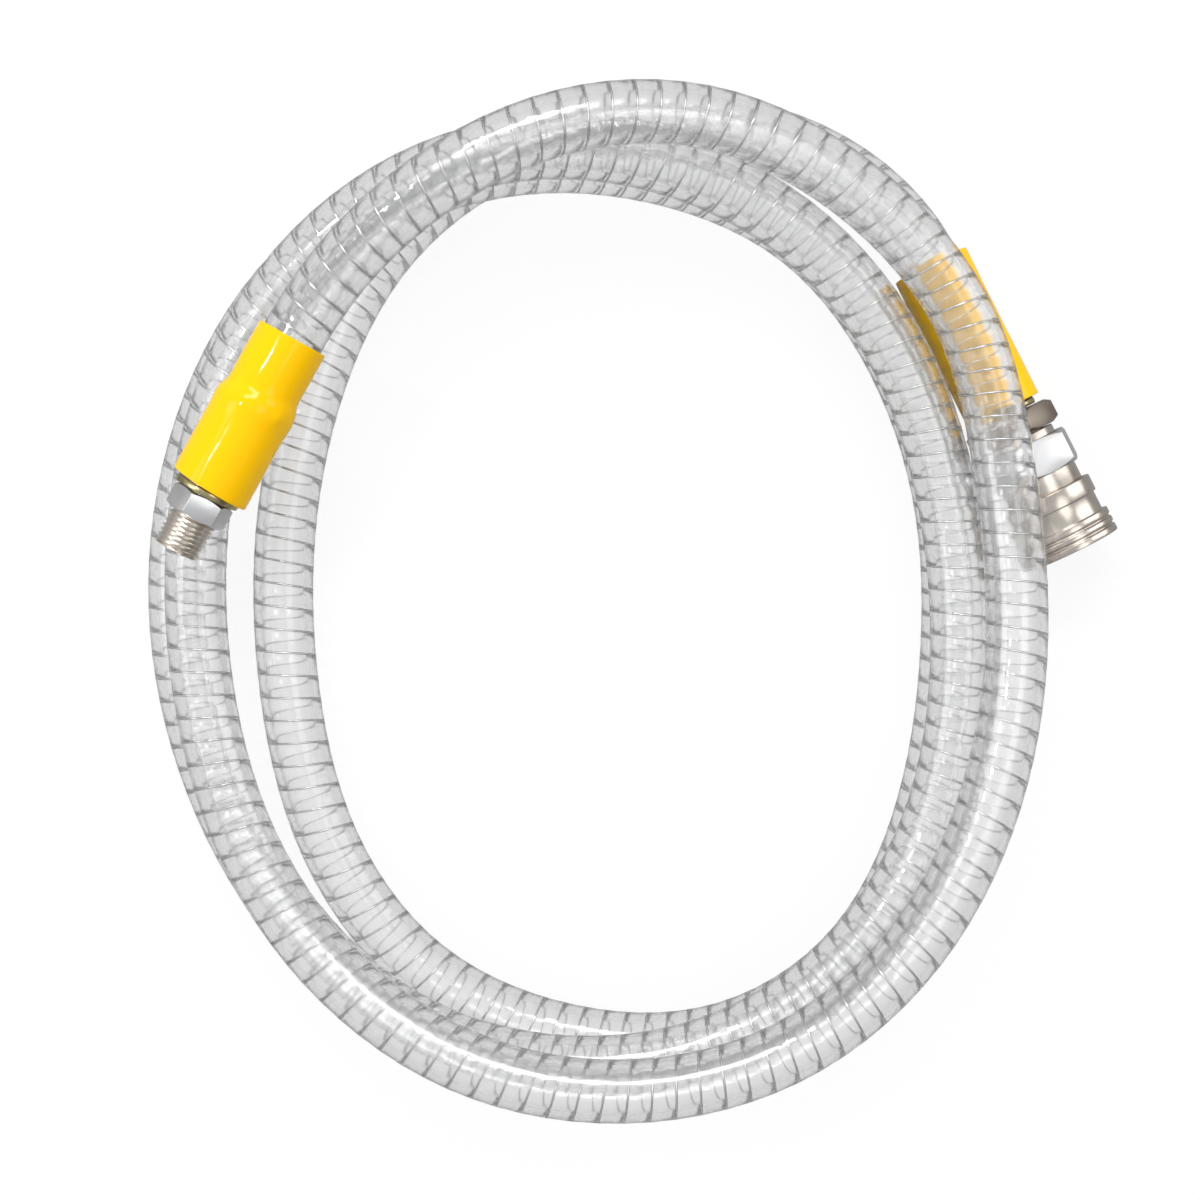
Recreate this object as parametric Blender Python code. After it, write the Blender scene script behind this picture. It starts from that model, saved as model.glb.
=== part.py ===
# Water hose: a clear wire-wound PVC hose lying in three and a quarter turns. One end has a nipple
# with a male taper thread, the other a quick-coupler socket, and each joint is crimped under
# a yellow sleeve. Lengths are in millimetres and are scaled to metres where a mesh is made.
# The floor is z = 0 and the coil is seen from above.
import math

import bmesh
import bpy
import numpy as np
from mathutils import Matrix, Vector

MM = 0.001
GAP = 0.3
TURN_STEPS = 24
SMALL_TURN_STEPS = 16
DRILL_STEPS = 12
COIL_STEPS = 12
EDGE_BREAK = 0.5
HEX_FACE_SHARE = 0.985
UNDERCUT = 1.0

# Hose
HOSE_BORE = 12.0
HOSE_WALL = 2.5
HOSE_SIDES = 12
HOSE_STEP = 27.0

# Crimped joint, the same at both ends. Places along a fitting are measured from the end of
# the yellow sleeve that faces the hose.
SLEEVE_LENGTH = 46.0
SLEEVE_WALL = 1.0
SLEEVE_STEP_START = 16.4
SLEEVE_STEP_LENGTH = 3.2
SLEEVE_END_LEAN = math.radians(3.6)
FERRULE_WALL = 0.9
FERRULE_FLANGE = 1.3
FERRULE_SHOWING = 2.0
FERRULE_RIM_WALL = 0.35
FERRULE_LIP_RADIUS = 0.6
TAIL_LENGTH = 23.0
TAIL_BARBS = 5
TAIL_BARB_DEPTH = 0.6
TAIL_GAP = 0.55
BARB_CREST_SHARE = 0.85
NIPPLE_NECK_DIAMETER = 12.6
NIPPLE_BORE = 8.0

# Nipple at end A: hexagon and R 1/4 taper thread
HEX_A_FLATS = 15.0
HEX_A_LENGTH = 6.5
HEX_A_TURN = math.radians(18.0)
THREAD_A_DIAMETER = 13.1
THREAD_A_LENGTH = 10.0
THREAD_TAPER = 1.0 / 16.0
THREAD_CHAMFER = 0.9
THREAD_ROOT_DEPTH = 0.6
BORE_CHAMFER = 0.3

# Nipple at end B: hexagon and R 3/8 thread inside the coupler
HEX_B_FLATS = 23.0
HEX_B_LENGTH = 6.8
HEX_B_TURN = math.radians(-20.0)
THREAD_B_DIAMETER = 16.6
THREAD_B_LENGTH = 8.8

# Quick coupler at end B
ADAPTER_SHOULDER_LENGTH = 2.1
ADAPTER_SHOULDER_DIAMETER = 20.8
ADAPTER_HEX_FLATS = 25.0
ADAPTER_HEX_LENGTH = 10.2
ADAPTER_HEX_TURN = math.radians(13.0)
ADAPTER_NECK_WALL = 1.6
ADAPTER_NECK_SHOWING = 5.1
ADAPTER_NECK_HIDDEN = 1.2
ADAPTER_WEB = 1.6
ADAPTER_WEB_BORE = 10.0
GUIDE_CHAMBER_DIAMETER = 14.4
BODY_DIAMETER = 19.0
BODY_SPIGOT_LENGTH = 5.5
MOUTH_BORE = 13.6
MOUTH_CHAMFER = 0.8
COLLAR_LENGTH = 17.5
COLLAR_NECK_GAP = 0.3
COLLAR_WALL = 0.8
COLLAR_RING_RISE = 0.8
COLLAR_RING_LENGTH = 4.8
COLLAR_BARREL_LENGTH = 5.7
COLLAR_FLANGE_RISE = 1.35
COLLAR_GROOVE_DEPTH = 0.5
COLLAR_GROOVE_WIDTH = 0.9
LAND_LENGTH = 1.55
RAMP_SLOPE = 0.48
RAMP_LEAD = 0.15
BALL_COUNT = 6
BALL_DIAMETER = 4.0
BALL_FROM_MOUTH = 8.1
RING_THICKNESS = 1.2
RING_SEAT_DEPTH = 0.5
RING_CHAMBER_GAP = 0.8
RING_FROM_BALLS = 3.35
COLLAR_SPRING_WIRE = 0.7
COLLAR_SPRING_TURNS = 3.0
SEAL_WIRE = 2.0
SEAL_BORE = 10.2
SEAL_FROM_BALLS = 4.5
SEAT_BORE = 8.4
SEAT_LENGTH = 1.6
VALVE_HEAD_DIAMETER = 10.8
VALVE_HEAD_LENGTH = 1.5
VALVE_NOSE_DIAMETER = 5.2
VALVE_NOSE_LENGTH = 7.0
VALVE_STEM_DIAMETER = 2.4
VALVE_STEM_LENGTH = 7.2
VALVE_SEAL_WIRE = 0.9
VALVE_CHAMBER_DIAMETER = 14.4
VALVE_SPRING_WIRE = 0.6
VALVE_SPRING_TURNS = 3.0
VALVE_SPRING_DIAMETER = 6.4
GUIDE_THICKNESS = 1.4
GUIDE_HOLES = 4
GUIDE_HOLE_DIAMETER = 3.4
GUIDE_HOLE_CIRCLE = 8.8

# Where the fittings lie: the place of the sleeve's hose end, and the way the fitting points
END_A_PLACE = (-90.9, 67.9, 50.6)
END_A_WAY = (-0.489, -0.872, -0.035)
END_B_PLACE = (85.3, 92.9, 13.95)
END_B_WAY = (0.447, -0.894, 0.0)

# The hose's way from end B to end A, laid by eye over itself, strand on strand
HOSE_ROUTE = (
    (53.0, 124.5, 12.2), (9.0, 134.2, 10.0), (-34.5, 125.5, 9.0), (-70.0, 98.5, 8.6),
    (-90.5, 59.0, 8.6), (-99.0, 15.0, 8.6), (-97.5, -29.5, 8.6), (-86.0, -72.5, 8.6),
    (-59.0, -108.0, 8.6), (-18.5, -126.5, 8.6), (25.5, -126.5, 8.6), (63.0, -103.5, 8.6),
    (84.0, -64.0, 8.6), (91.5, -20.0, 8.6), (90.0, 24.5, 8.6), (76.0, 67.0, 9.0),
    (48.5, 101.0, 11.8), (8.0, 117.9, 18.8), (-36.0, 118.5, 26.2), (-77.5, 103.0, 24.2),
    (-109.0, 73.0, 14.0), (-126.0, 32.5, 9.5), (-129.0, -12.0, 8.6), (-118.5, -55.5, 9.5),
    (-95.5, -93.5, 14.5), (-61.5, -121.0, 21.5), (-19.0, -132.0, 26.0), (25.0, -125.5, 26.5),
    (61.5, -100.5, 26.5), (84.5, -62.5, 26.5), (91.8, -18.5, 26.5), (87.9, 26.8, 26.5),
    (72.3, 69.7, 28.5), (41.9, 102.6, 32.5), (0.5, 119.0, 39.2), (-43.5, 117.0, 44.3),
    (-82.5, 96.0, 40.5), (-109.0, 61.5, 33.0), (-120.5, 18.5, 27.5), (-119.5, -26.0, 26.0),
    (-107.0, -68.5, 29.5), (-81.0, -104.5, 35.5), (-44.0, -128.0, 42.0), (0.0, -135.0, 44.0),
    (43.0, -124.0, 44.0), (77.0, -95.5, 43.0), (97.5, -56.0, 41.0), (105.2, -12.5, 37.5),
    (102.4, 31.8, 36.0), (91.0, 75.0, 36.5), (62.0, 108.5, 40.5), (22.5, 126.5, 49.0),
    (-20.0, 123.0, 60.2), (-59.5, 102.5, 59.6),
)

# Sizes that follow from those above
HOSE_DIAMETER = HOSE_BORE + 2 * HOSE_WALL
FERRULE_BORE = HOSE_DIAMETER + 2 * GAP
FERRULE_DIAMETER = FERRULE_BORE + 2 * FERRULE_WALL
SLEEVE_NARROW_BORE = HOSE_DIAMETER + 2 * GAP
SLEEVE_WIDE_BORE = FERRULE_DIAMETER + 2 * GAP
FERRULE_START = SLEEVE_STEP_START + SLEEVE_STEP_LENGTH + GAP
FERRULE_END = SLEEVE_LENGTH + FERRULE_SHOWING
HOSE_END = FERRULE_END - FERRULE_FLANGE - GAP
NIPPLE_HEX_START = FERRULE_END + GAP
HEX_B_END = NIPPLE_HEX_START + HEX_B_LENGTH
ADAPTER_START = HEX_B_END + GAP
ADAPTER_HEX_START = ADAPTER_START + ADAPTER_SHOULDER_LENGTH
ADAPTER_HEX_END = ADAPTER_HEX_START + ADAPTER_HEX_LENGTH
COLLAR_START = ADAPTER_HEX_END + ADAPTER_NECK_SHOWING
ADAPTER_END = COLLAR_START + ADAPTER_NECK_HIDDEN
MOUTH = COLLAR_START + COLLAR_LENGTH
THREAD_B_END = HEX_B_END + THREAD_B_LENGTH
ADAPTER_WEB_START = THREAD_B_END + GAP
ADAPTER_WEB_END = ADAPTER_WEB_START + ADAPTER_WEB
BODY_START = ADAPTER_END - BODY_SPIGOT_LENGTH
ADAPTER_SEAT = BODY_START - GAP
BODY_BORE_SEAT = BODY_DIAMETER + 2 * GAP
ADAPTER_NECK_DIAMETER = BODY_BORE_SEAT + 2 * ADAPTER_NECK_WALL
COLLAR_BORE = BODY_DIAMETER + 2 * GAP
COLLAR_CHAMBER = ADAPTER_NECK_DIAMETER + 2 * COLLAR_NECK_GAP
COLLAR_BARREL_DIAMETER = COLLAR_CHAMBER + 2 * COLLAR_WALL
COLLAR_RING_DIAMETER = COLLAR_BARREL_DIAMETER + 2 * COLLAR_RING_RISE
COLLAR_FLANGE_DIAMETER = COLLAR_BARREL_DIAMETER + 2 * COLLAR_FLANGE_RISE
RING_BORE = BODY_DIAMETER - 2 * RING_SEAT_DEPTH
RING_DIAMETER = COLLAR_CHAMBER - 2 * RING_CHAMBER_GAP
BALL_PLACE = MOUTH - BALL_FROM_MOUTH
BALL_CENTRE_RADIUS = COLLAR_BORE / 2 - GAP - BALL_DIAMETER / 2
RAMP_START = BALL_PLACE - RAMP_LEAD
RAMP_END = RAMP_START + (COLLAR_CHAMBER - COLLAR_BORE) / 2 / RAMP_SLOPE
LAND_START = RAMP_START - LAND_LENGTH
RING_PLACE = BALL_PLACE + RING_FROM_BALLS
SEAL_PLACE = BALL_PLACE - SEAL_FROM_BALLS
SEAL_GROOVE_DIAMETER = SEAL_BORE + 2 * SEAL_WIRE + 2 * GAP
SEAL_LIP_BORE = SEAL_BORE + 2 * GAP
SEAL_GROOVE_START = SEAL_PLACE - SEAL_WIRE / 2 - GAP
SEAL_GROOVE_END = SEAL_PLACE + SEAL_WIRE / 2 + GAP
SEAT_BACK = SEAL_GROOVE_START - SEAT_LENGTH
VALVE_HEAD_FRONT = SEAT_BACK - GAP
VALVE_HEAD_BACK = VALVE_HEAD_FRONT - VALVE_HEAD_LENGTH
GUIDE_START = ADAPTER_WEB_END + GAP
GUIDE_END = GUIDE_START + GUIDE_THICKNESS


def clear_scene():
    for item in list(bpy.data.objects):
        bpy.data.objects.remove(item, do_unlink=True)


def finish(name, colour, roughness, metallic=0.0, alpha=1.0):
    material = bpy.data.materials.new(name)
    material.use_nodes = True
    shader = material.node_tree.nodes["Principled BSDF"]
    shader.inputs["Base Color"].default_value = (*colour, 1.0)
    shader.inputs["Roughness"].default_value = roughness
    shader.inputs["Metallic"].default_value = metallic
    shader.inputs["Alpha"].default_value = alpha
    return material


def fitting_frame(name, place, way):
    # An empty whose +Z points out of the hose, with +Y up
    out = Vector(way).normalized()
    right = Vector((0.0, 0.0, 1.0)).cross(out).normalized()
    up = out.cross(right)
    turn = Matrix((right, up, out)).transposed().to_4x4()
    empty = bpy.data.objects.new(name, None)
    bpy.context.collection.objects.link(empty)
    empty.matrix_world = Matrix.Translation(Vector(place) * MM) @ turn
    return empty


def place_on(piece, frame, along=0.0):
    piece.parent = frame
    piece.location = (0.0, 0.0, along * MM)


def add_object(name, mesh, material):
    mesh.materials.append(material)
    piece = bpy.data.objects.new(name, mesh)
    bpy.context.collection.objects.link(piece)
    return piece


def turned(name, profile, material, steps=TURN_STEPS):
    # A lathe-turned piece: the closed outline of (radius, length) points spun about Z
    shape = bmesh.new()
    corners = [shape.verts.new((radius * MM, 0.0, length * MM)) for radius, length in profile]
    edges = [shape.edges.new((corners[i - 1], corners[i])) for i in range(len(corners))]
    bmesh.ops.spin(shape, geom=corners + edges, cent=(0, 0, 0), axis=(0, 0, 1),
                   angle=math.tau, steps=steps, use_merge=True)
    bmesh.ops.remove_doubles(shape, verts=shape.verts, dist=0.000001)
    bmesh.ops.recalc_face_normals(shape, faces=shape.faces)
    mesh = bpy.data.meshes.new(name)
    shape.to_mesh(mesh)
    shape.free()
    mesh.shade_smooth()
    mesh.set_sharp_from_angle(angle=math.radians(30))
    return add_object(name, mesh, material)


def hex_bar(name, flats, start, end, turn, material):
    # A hexagonal bar whose upper flat is turned from +Y towards +X
    shape = bmesh.new()
    radius = flats / 2 / math.cos(math.radians(30)) * MM
    bmesh.ops.create_cone(shape, cap_ends=True, segments=6, radius1=radius, radius2=radius,
                          depth=(end - start) * MM)
    spin = Matrix.Rotation(math.radians(30) - turn, 4, "Z")
    lift = Matrix.Translation((0.0, 0.0, (start + end) / 2 * MM))
    bmesh.ops.transform(shape, matrix=lift @ spin, verts=shape.verts)
    mesh = bpy.data.meshes.new(name)
    shape.to_mesh(mesh)
    shape.free()
    return add_object(name, mesh, material)


def combine(target, other, operation):
    # Applies one Boolean step and deletes the helper
    step = target.modifiers.new(operation.lower(), "BOOLEAN")
    step.operation = operation
    step.solver = "EXACT"
    step.object = other
    bpy.context.view_layer.update()
    bpy.context.view_layer.objects.active = target
    bpy.ops.object.modifier_apply(modifier=step.name)
    bpy.data.objects.remove(other, do_unlink=True)


def chamfered_hex(flats, start, end, turn, inner_diameter, material):
    # The corners are turned down to a cone at both ends, as on a machined hexagon
    side = flats / 2 / math.cos(math.radians(30)) + UNDERCUT
    face = flats / 2 * HEX_FACE_SHARE
    fall = (side - face) * math.tan(math.radians(30))
    cover = turned("hex_cover", [
        (inner_diameter / 2, start), (face, start), (side, start + fall), (side, end - fall),
        (face, end), (inner_diameter / 2, end),
    ], material)
    bar = hex_bar("hex_bar", flats, start - UNDERCUT, end + UNDERCUT, turn, material)
    combine(cover, bar, "INTERSECT")
    return cover


def drill(target, radius, start, end, matrix):
    cutter = turned("drill", [(0.0, start), (radius, start), (radius, end), (0.0, end)],
                    target.data.materials[0], steps=DRILL_STEPS)
    cutter.data.transform(matrix)
    combine(target, cutter, "DIFFERENCE")


def coil(name, radius, wire, turns, start, end, material):
    # A compression spring: a round wire on a helix between two seats
    curve = bpy.data.curves.new(name, "CURVE")
    curve.dimensions = "3D"
    curve.bevel_depth = wire / 2 * MM
    curve.bevel_resolution = 1
    curve.use_fill_caps = True
    count = int(turns * COIL_STEPS) + 1
    line = curve.splines.new("POLY")
    line.points.add(count - 1)
    low = start + wire / 2
    high = end - wire / 2
    for i in range(count):
        share = i / (count - 1)
        angle = share * turns * math.tau
        height = low + (high - low) * share
        line.points[i].co = (radius * math.cos(angle) * MM, radius * math.sin(angle) * MM,
                             height * MM, 1.0)
    piece = bpy.data.objects.new(name, curve)
    bpy.context.collection.objects.link(piece)
    curve.materials.append(material)
    return piece


def smooth_curve(points, start_way, end_way, step):
    # A cubic spline through the points, leaving and arriving along the two given ways, read
    # at even steps of about the given length
    knots = np.array(points, float)
    start_slope = np.array(Vector(start_way).normalized())
    end_slope = np.array(Vector(end_way).normalized())
    chord = np.r_[0.0, np.cumsum(np.linalg.norm(np.diff(knots, axis=0), axis=1))]
    spans = np.diff(chord)
    slopes = np.diff(knots, axis=0) / spans[:, None]
    count = len(knots)
    system = np.zeros((count, count))
    bend = np.zeros((count, 3))
    system[0, :2] = (2 * spans[0], spans[0])
    bend[0] = 6 * (slopes[0] - start_slope)
    for i in range(1, count - 1):
        system[i, i - 1:i + 2] = (spans[i - 1], 2 * (spans[i - 1] + spans[i]), spans[i])
        bend[i] = 6 * (slopes[i] - slopes[i - 1])
    system[-1, -2:] = (spans[-1], 2 * spans[-1])
    bend[-1] = 6 * (end_slope - slopes[-1])
    second = np.linalg.solve(system, bend)
    places = np.linspace(0.0, chord[-1], round(chord[-1] / step) + 1)
    at = np.clip(np.searchsorted(chord, places, side="right") - 1, 0, count - 2)
    width = spans[at][:, None]
    right = (places - chord[at])[:, None]
    left = width - right
    return ((second[at] * left ** 3 + second[at + 1] * right ** 3) / (6 * width)
            + (knots[at] / width - second[at] * width / 6) * left
            + (knots[at + 1] / width - second[at + 1] * width / 6) * right)


def along_fitting(place, way, distance):
    out = Vector(way).normalized()
    return tuple(Vector(place) + out * distance)


# Materials
clear_pvc = finish("clear_pvc", (0.80, 0.80, 0.79), 0.12, alpha=0.45)
yellow_pvc = finish("yellow_pvc", (0.95, 0.61, 0.0), 0.25)
nickel = finish("nickel_plate", (0.72, 0.70, 0.67), 0.28, metallic=1.0)
zinc = finish("ferrule_steel", (0.55, 0.50, 0.36), 0.35, metallic=1.0)
spring_steel = finish("spring_steel", (0.62, 0.62, 0.62), 0.3, metallic=1.0)
ball_steel = finish("ball_steel", (0.75, 0.75, 0.75), 0.12, metallic=1.0)
rubber = finish("black_rubber", (0.02, 0.02, 0.02), 0.6)


def hose_centres():
    # Straight inside each fitting, and one smooth curve from sleeve to sleeve
    back = tuple(-part for part in END_B_WAY)
    free = smooth_curve((END_B_PLACE, *HOSE_ROUTE, END_A_PLACE), back, END_A_WAY, HOSE_STEP)
    start = [along_fitting(END_B_PLACE, END_B_WAY, HOSE_END * part) for part in (1.0, 0.5)]
    end = [along_fitting(END_A_PLACE, END_A_WAY, HOSE_END * part) for part in (0.5, 1.0)]
    return [tuple(centre) for centre in (*start, *free, *end)]


def make_hose():
    centres = hose_centres()
    curve = bpy.data.curves.new("hose", "CURVE")
    curve.dimensions = "3D"
    curve.bevel_depth = HOSE_DIAMETER / 2 * MM
    curve.bevel_resolution = round(HOSE_SIDES / 2) - 2
    curve.twist_mode = "MINIMUM"
    line = curve.splines.new("POLY")
    line.points.add(len(centres) - 1)
    for point, centre in zip(line.points, centres):
        point.co = (*(part * MM for part in centre), 1.0)
    hose = bpy.data.objects.new("hose", curve)
    bpy.context.collection.objects.link(hose)
    curve.materials.append(clear_pvc)
    wall = hose.modifiers.new("wall", "SOLIDIFY")
    wall.thickness = HOSE_WALL * MM
    wall.offset = -1.0
    wall.use_even_offset = True
    wall.use_rim = True
    return hose


def make_sleeve(name, frame, hose_bore, lean):
    narrow = hose_bore / 2
    wide = SLEEVE_WIDE_BORE / 2
    step_end = SLEEVE_STEP_START + SLEEVE_STEP_LENGTH
    sleeve = turned(name, [
        (narrow, 0.0), (narrow + SLEEVE_WALL, 0.0), (narrow + SLEEVE_WALL, SLEEVE_STEP_START),
        (wide + SLEEVE_WALL, step_end), (wide + SLEEVE_WALL, SLEEVE_LENGTH),
        (wide, SLEEVE_LENGTH), (wide, step_end - SLEEVE_WALL / 2),
        (narrow, SLEEVE_STEP_START - SLEEVE_WALL / 2),
    ], yellow_pvc)
    for corner in sleeve.data.vertices:
        if corner.co.z > (SLEEVE_LENGTH - GAP) * MM:
            corner.co.z += corner.co.x * math.tan(lean)
    place_on(sleeve, frame)


def make_ferrule(name, frame):
    outer = FERRULE_DIAMETER / 2
    rim = FERRULE_BORE / 2 + FERRULE_RIM_WALL
    hole = NIPPLE_NECK_DIAMETER / 2 + GAP
    lip = FERRULE_LIP_RADIUS
    ferrule = turned(name, [
        (FERRULE_BORE / 2, FERRULE_START), (outer, FERRULE_START),
        (outer, SLEEVE_LENGTH - FERRULE_WALL), (rim, SLEEVE_LENGTH), (rim, FERRULE_END - lip),
        (rim - lip * 0.3, FERRULE_END - lip * 0.3), (rim - lip, FERRULE_END),
        (hole, FERRULE_END), (hole, FERRULE_END - FERRULE_FLANGE),
        (FERRULE_BORE / 2, FERRULE_END - FERRULE_FLANGE),
    ], zinc)
    place_on(ferrule, frame)


def tail_profile():
    # Barbed tail inside the hose, then the neck that passes through the ferrule
    crest = HOSE_BORE / 2 - TAIL_GAP
    valley = crest - TAIL_BARB_DEPTH
    end = HOSE_END - GAP
    start = end - TAIL_LENGTH
    pitch = TAIL_LENGTH / (TAIL_BARBS + 0.5)
    profile = [(NIPPLE_BORE / 2, start), (valley, start)]
    for i in range(TAIL_BARBS):
        foot = start + i * pitch
        profile += [(crest, foot + pitch * BARB_CREST_SHARE), (valley, foot + pitch)]
    profile += [(valley, HOSE_END), (NIPPLE_NECK_DIAMETER / 2, HOSE_END + GAP)]
    return profile


def make_nipple(name, frame, flats, hex_length, turn, thread, thread_length, taper):
    hex_end = NIPPLE_HEX_START + hex_length
    tip = hex_end + thread_length
    root = thread / 2 - THREAD_ROOT_DEPTH
    end_radius = thread / 2 - taper * (thread_length - THREAD_CHAMFER) / 2
    nipple = turned(name, tail_profile() + [
        (NIPPLE_NECK_DIAMETER / 2, hex_end - UNDERCUT), (root, hex_end - EDGE_BREAK),
        (root, hex_end + EDGE_BREAK), (thread / 2, hex_end + UNDERCUT),
        (end_radius, tip - THREAD_CHAMFER), (end_radius - THREAD_CHAMFER, tip),
        (NIPPLE_BORE / 2 + BORE_CHAMFER, tip), (NIPPLE_BORE / 2, tip - BORE_CHAMFER),
    ], nickel)
    inside = (NIPPLE_BORE + root * 2) / 2
    collar = chamfered_hex(flats, NIPPLE_HEX_START, hex_end, turn, inside, nickel)
    combine(nipple, collar, "UNION")
    place_on(nipple, frame)


def make_adapter(frame):
    thread_bore = THREAD_B_DIAMETER / 2 + GAP
    shoulder = ADAPTER_SHOULDER_DIAMETER / 2
    neck = ADAPTER_NECK_DIAMETER / 2
    adapter = turned("coupler_adapter", [
        (thread_bore + EDGE_BREAK, ADAPTER_START), (shoulder - EDGE_BREAK, ADAPTER_START),
        (shoulder, ADAPTER_START + EDGE_BREAK), (shoulder, ADAPTER_HEX_START + UNDERCUT),
        (neck, ADAPTER_HEX_END - UNDERCUT), (neck, ADAPTER_END),
        (BODY_BORE_SEAT / 2, ADAPTER_END),
        (BODY_BORE_SEAT / 2, ADAPTER_SEAT), (GUIDE_CHAMBER_DIAMETER / 2, ADAPTER_SEAT),
        (GUIDE_CHAMBER_DIAMETER / 2, ADAPTER_WEB_END), (ADAPTER_WEB_BORE / 2, ADAPTER_WEB_END),
        (ADAPTER_WEB_BORE / 2, ADAPTER_WEB_START), (thread_bore, ADAPTER_WEB_START),
        (thread_bore, ADAPTER_START + EDGE_BREAK),
    ], nickel)
    collar = chamfered_hex(ADAPTER_HEX_FLATS, ADAPTER_HEX_START, ADAPTER_HEX_END,
                           ADAPTER_HEX_TURN, (BODY_BORE_SEAT + ADAPTER_SHOULDER_DIAMETER) / 2,
                           nickel)
    combine(adapter, collar, "UNION")
    place_on(adapter, frame)


def make_body(frame):
    outer = BODY_DIAMETER / 2
    groove = RING_BORE / 2 - GAP
    groove_half = RING_THICKNESS / 2 + GAP
    front = MOUTH - GAP
    mouth = MOUTH_BORE / 2
    body = turned("coupler_body", [
        (VALVE_CHAMBER_DIAMETER / 2, BODY_START), (outer, BODY_START),
        (outer, RING_PLACE - groove_half), (groove, RING_PLACE - groove_half),
        (groove, RING_PLACE + groove_half), (outer, RING_PLACE + groove_half),
        (outer, front - MOUTH_CHAMFER), (outer - MOUTH_CHAMFER, front),
        (mouth + MOUTH_CHAMFER, front), (mouth, front - MOUTH_CHAMFER),
        (mouth, SEAL_GROOVE_END + UNDERCUT), (SEAL_LIP_BORE / 2, SEAL_GROOVE_END + EDGE_BREAK),
        (SEAL_LIP_BORE / 2, SEAL_GROOVE_END), (SEAL_GROOVE_DIAMETER / 2, SEAL_GROOVE_END),
        (SEAL_GROOVE_DIAMETER / 2, SEAL_GROOVE_START), (SEAT_BORE / 2, SEAL_GROOVE_START),
        (SEAT_BORE / 2, SEAT_BACK), (VALVE_CHAMBER_DIAMETER / 2, SEAT_BACK),
    ], nickel)
    for i in range(BALL_COUNT):
        turn = Matrix.Rotation(i * math.tau / BALL_COUNT, 4, "Z")
        lift = Matrix.Translation((0.0, 0.0, BALL_PLACE * MM))
        lay = Matrix.Rotation(math.radians(90), 4, "Y")
        drill(body, BALL_DIAMETER / 2 + GAP, mouth - UNDERCUT, outer + UNDERCUT,
              turn @ lift @ lay)
    place_on(body, frame)


def make_sliding_sleeve(frame):
    chamber = COLLAR_CHAMBER / 2
    ring = COLLAR_RING_DIAMETER / 2
    barrel = COLLAR_BARREL_DIAMETER / 2
    flange = COLLAR_FLANGE_DIAMETER / 2
    ring_end = COLLAR_START + COLLAR_RING_LENGTH
    flange_start = ring_end + COLLAR_BARREL_LENGTH
    flange_length = MOUTH - flange_start
    profile = [
        (chamber, COLLAR_START), (ring - EDGE_BREAK, COLLAR_START),
        (ring, COLLAR_START + EDGE_BREAK), (ring, ring_end - EDGE_BREAK), (barrel, ring_end),
        (barrel, flange_start), (flange, flange_start + EDGE_BREAK),
    ]
    for share in (1 / 3, 2 / 3):
        middle = flange_start + flange_length * share
        profile += [
            (flange, middle - COLLAR_GROOVE_WIDTH / 2),
            (flange - COLLAR_GROOVE_DEPTH, middle - COLLAR_GROOVE_WIDTH / 4),
            (flange - COLLAR_GROOVE_DEPTH, middle + COLLAR_GROOVE_WIDTH / 4),
            (flange, middle + COLLAR_GROOVE_WIDTH / 2),
        ]
    profile += [
        (flange, MOUTH - EDGE_BREAK), (flange - EDGE_BREAK, MOUTH), (chamber, MOUTH),
        (chamber, RAMP_END),
        (COLLAR_BORE / 2, RAMP_START), (COLLAR_BORE / 2, LAND_START), (chamber, LAND_START),
    ]
    place_on(turned("sliding_sleeve", profile, nickel), frame)


def make_collar_spring(frame):
    radius = (COLLAR_CHAMBER + BODY_DIAMETER) / 4
    spring = coil("sleeve_spring", radius, COLLAR_SPRING_WIRE, COLLAR_SPRING_TURNS,
                  ADAPTER_END + GAP, LAND_START - GAP, spring_steel)
    place_on(spring, frame)


def make_retaining_ring(frame):
    low = RING_PLACE - RING_THICKNESS / 2
    high = RING_PLACE + RING_THICKNESS / 2
    ring = turned("retaining_ring", [
        (RING_BORE / 2, low), (RING_DIAMETER / 2, low), (RING_DIAMETER / 2, high),
        (RING_BORE / 2, high),
    ], spring_steel)
    place_on(ring, frame)


def torus_ring(name, inner_diameter, wire, place, material):
    centre = inner_diameter / 2 + wire / 2
    profile = []
    for i in range(8):
        angle = math.radians(22.5 + i * 45)
        profile.append((centre + wire / 2 * math.cos(angle), place + wire / 2 * math.sin(angle)))
    return turned(name, profile, material, steps=SMALL_TURN_STEPS)


def make_valve(frame):
    head = VALVE_HEAD_DIAMETER / 2
    nose = VALVE_NOSE_DIAMETER / 2
    stem = VALVE_STEM_DIAMETER / 2
    middle = (VALVE_HEAD_FRONT + VALVE_HEAD_BACK) / 2
    valve = turned("valve", [
        (0.0, VALVE_HEAD_BACK - VALVE_STEM_LENGTH), (stem, VALVE_HEAD_BACK - VALVE_STEM_LENGTH),
        (stem, VALVE_HEAD_BACK), (head, VALVE_HEAD_BACK), (head, VALVE_HEAD_FRONT),
        (nose, VALVE_HEAD_FRONT), (nose, VALVE_HEAD_FRONT + VALVE_NOSE_LENGTH - EDGE_BREAK),
        (nose - EDGE_BREAK, VALVE_HEAD_FRONT + VALVE_NOSE_LENGTH),
        (0.0, VALVE_HEAD_FRONT + VALVE_NOSE_LENGTH),
    ], nickel, steps=SMALL_TURN_STEPS)
    place_on(valve, frame)
    seal = torus_ring("valve_seal", VALVE_HEAD_DIAMETER + GAP * 2, VALVE_SEAL_WIRE, middle, rubber)
    place_on(seal, frame)


def make_valve_spring(frame):
    spring = coil("valve_spring", VALVE_SPRING_DIAMETER / 2, VALVE_SPRING_WIRE,
                  VALVE_SPRING_TURNS, GUIDE_END + GAP, VALVE_HEAD_BACK - GAP, spring_steel)
    place_on(spring, frame)


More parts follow.
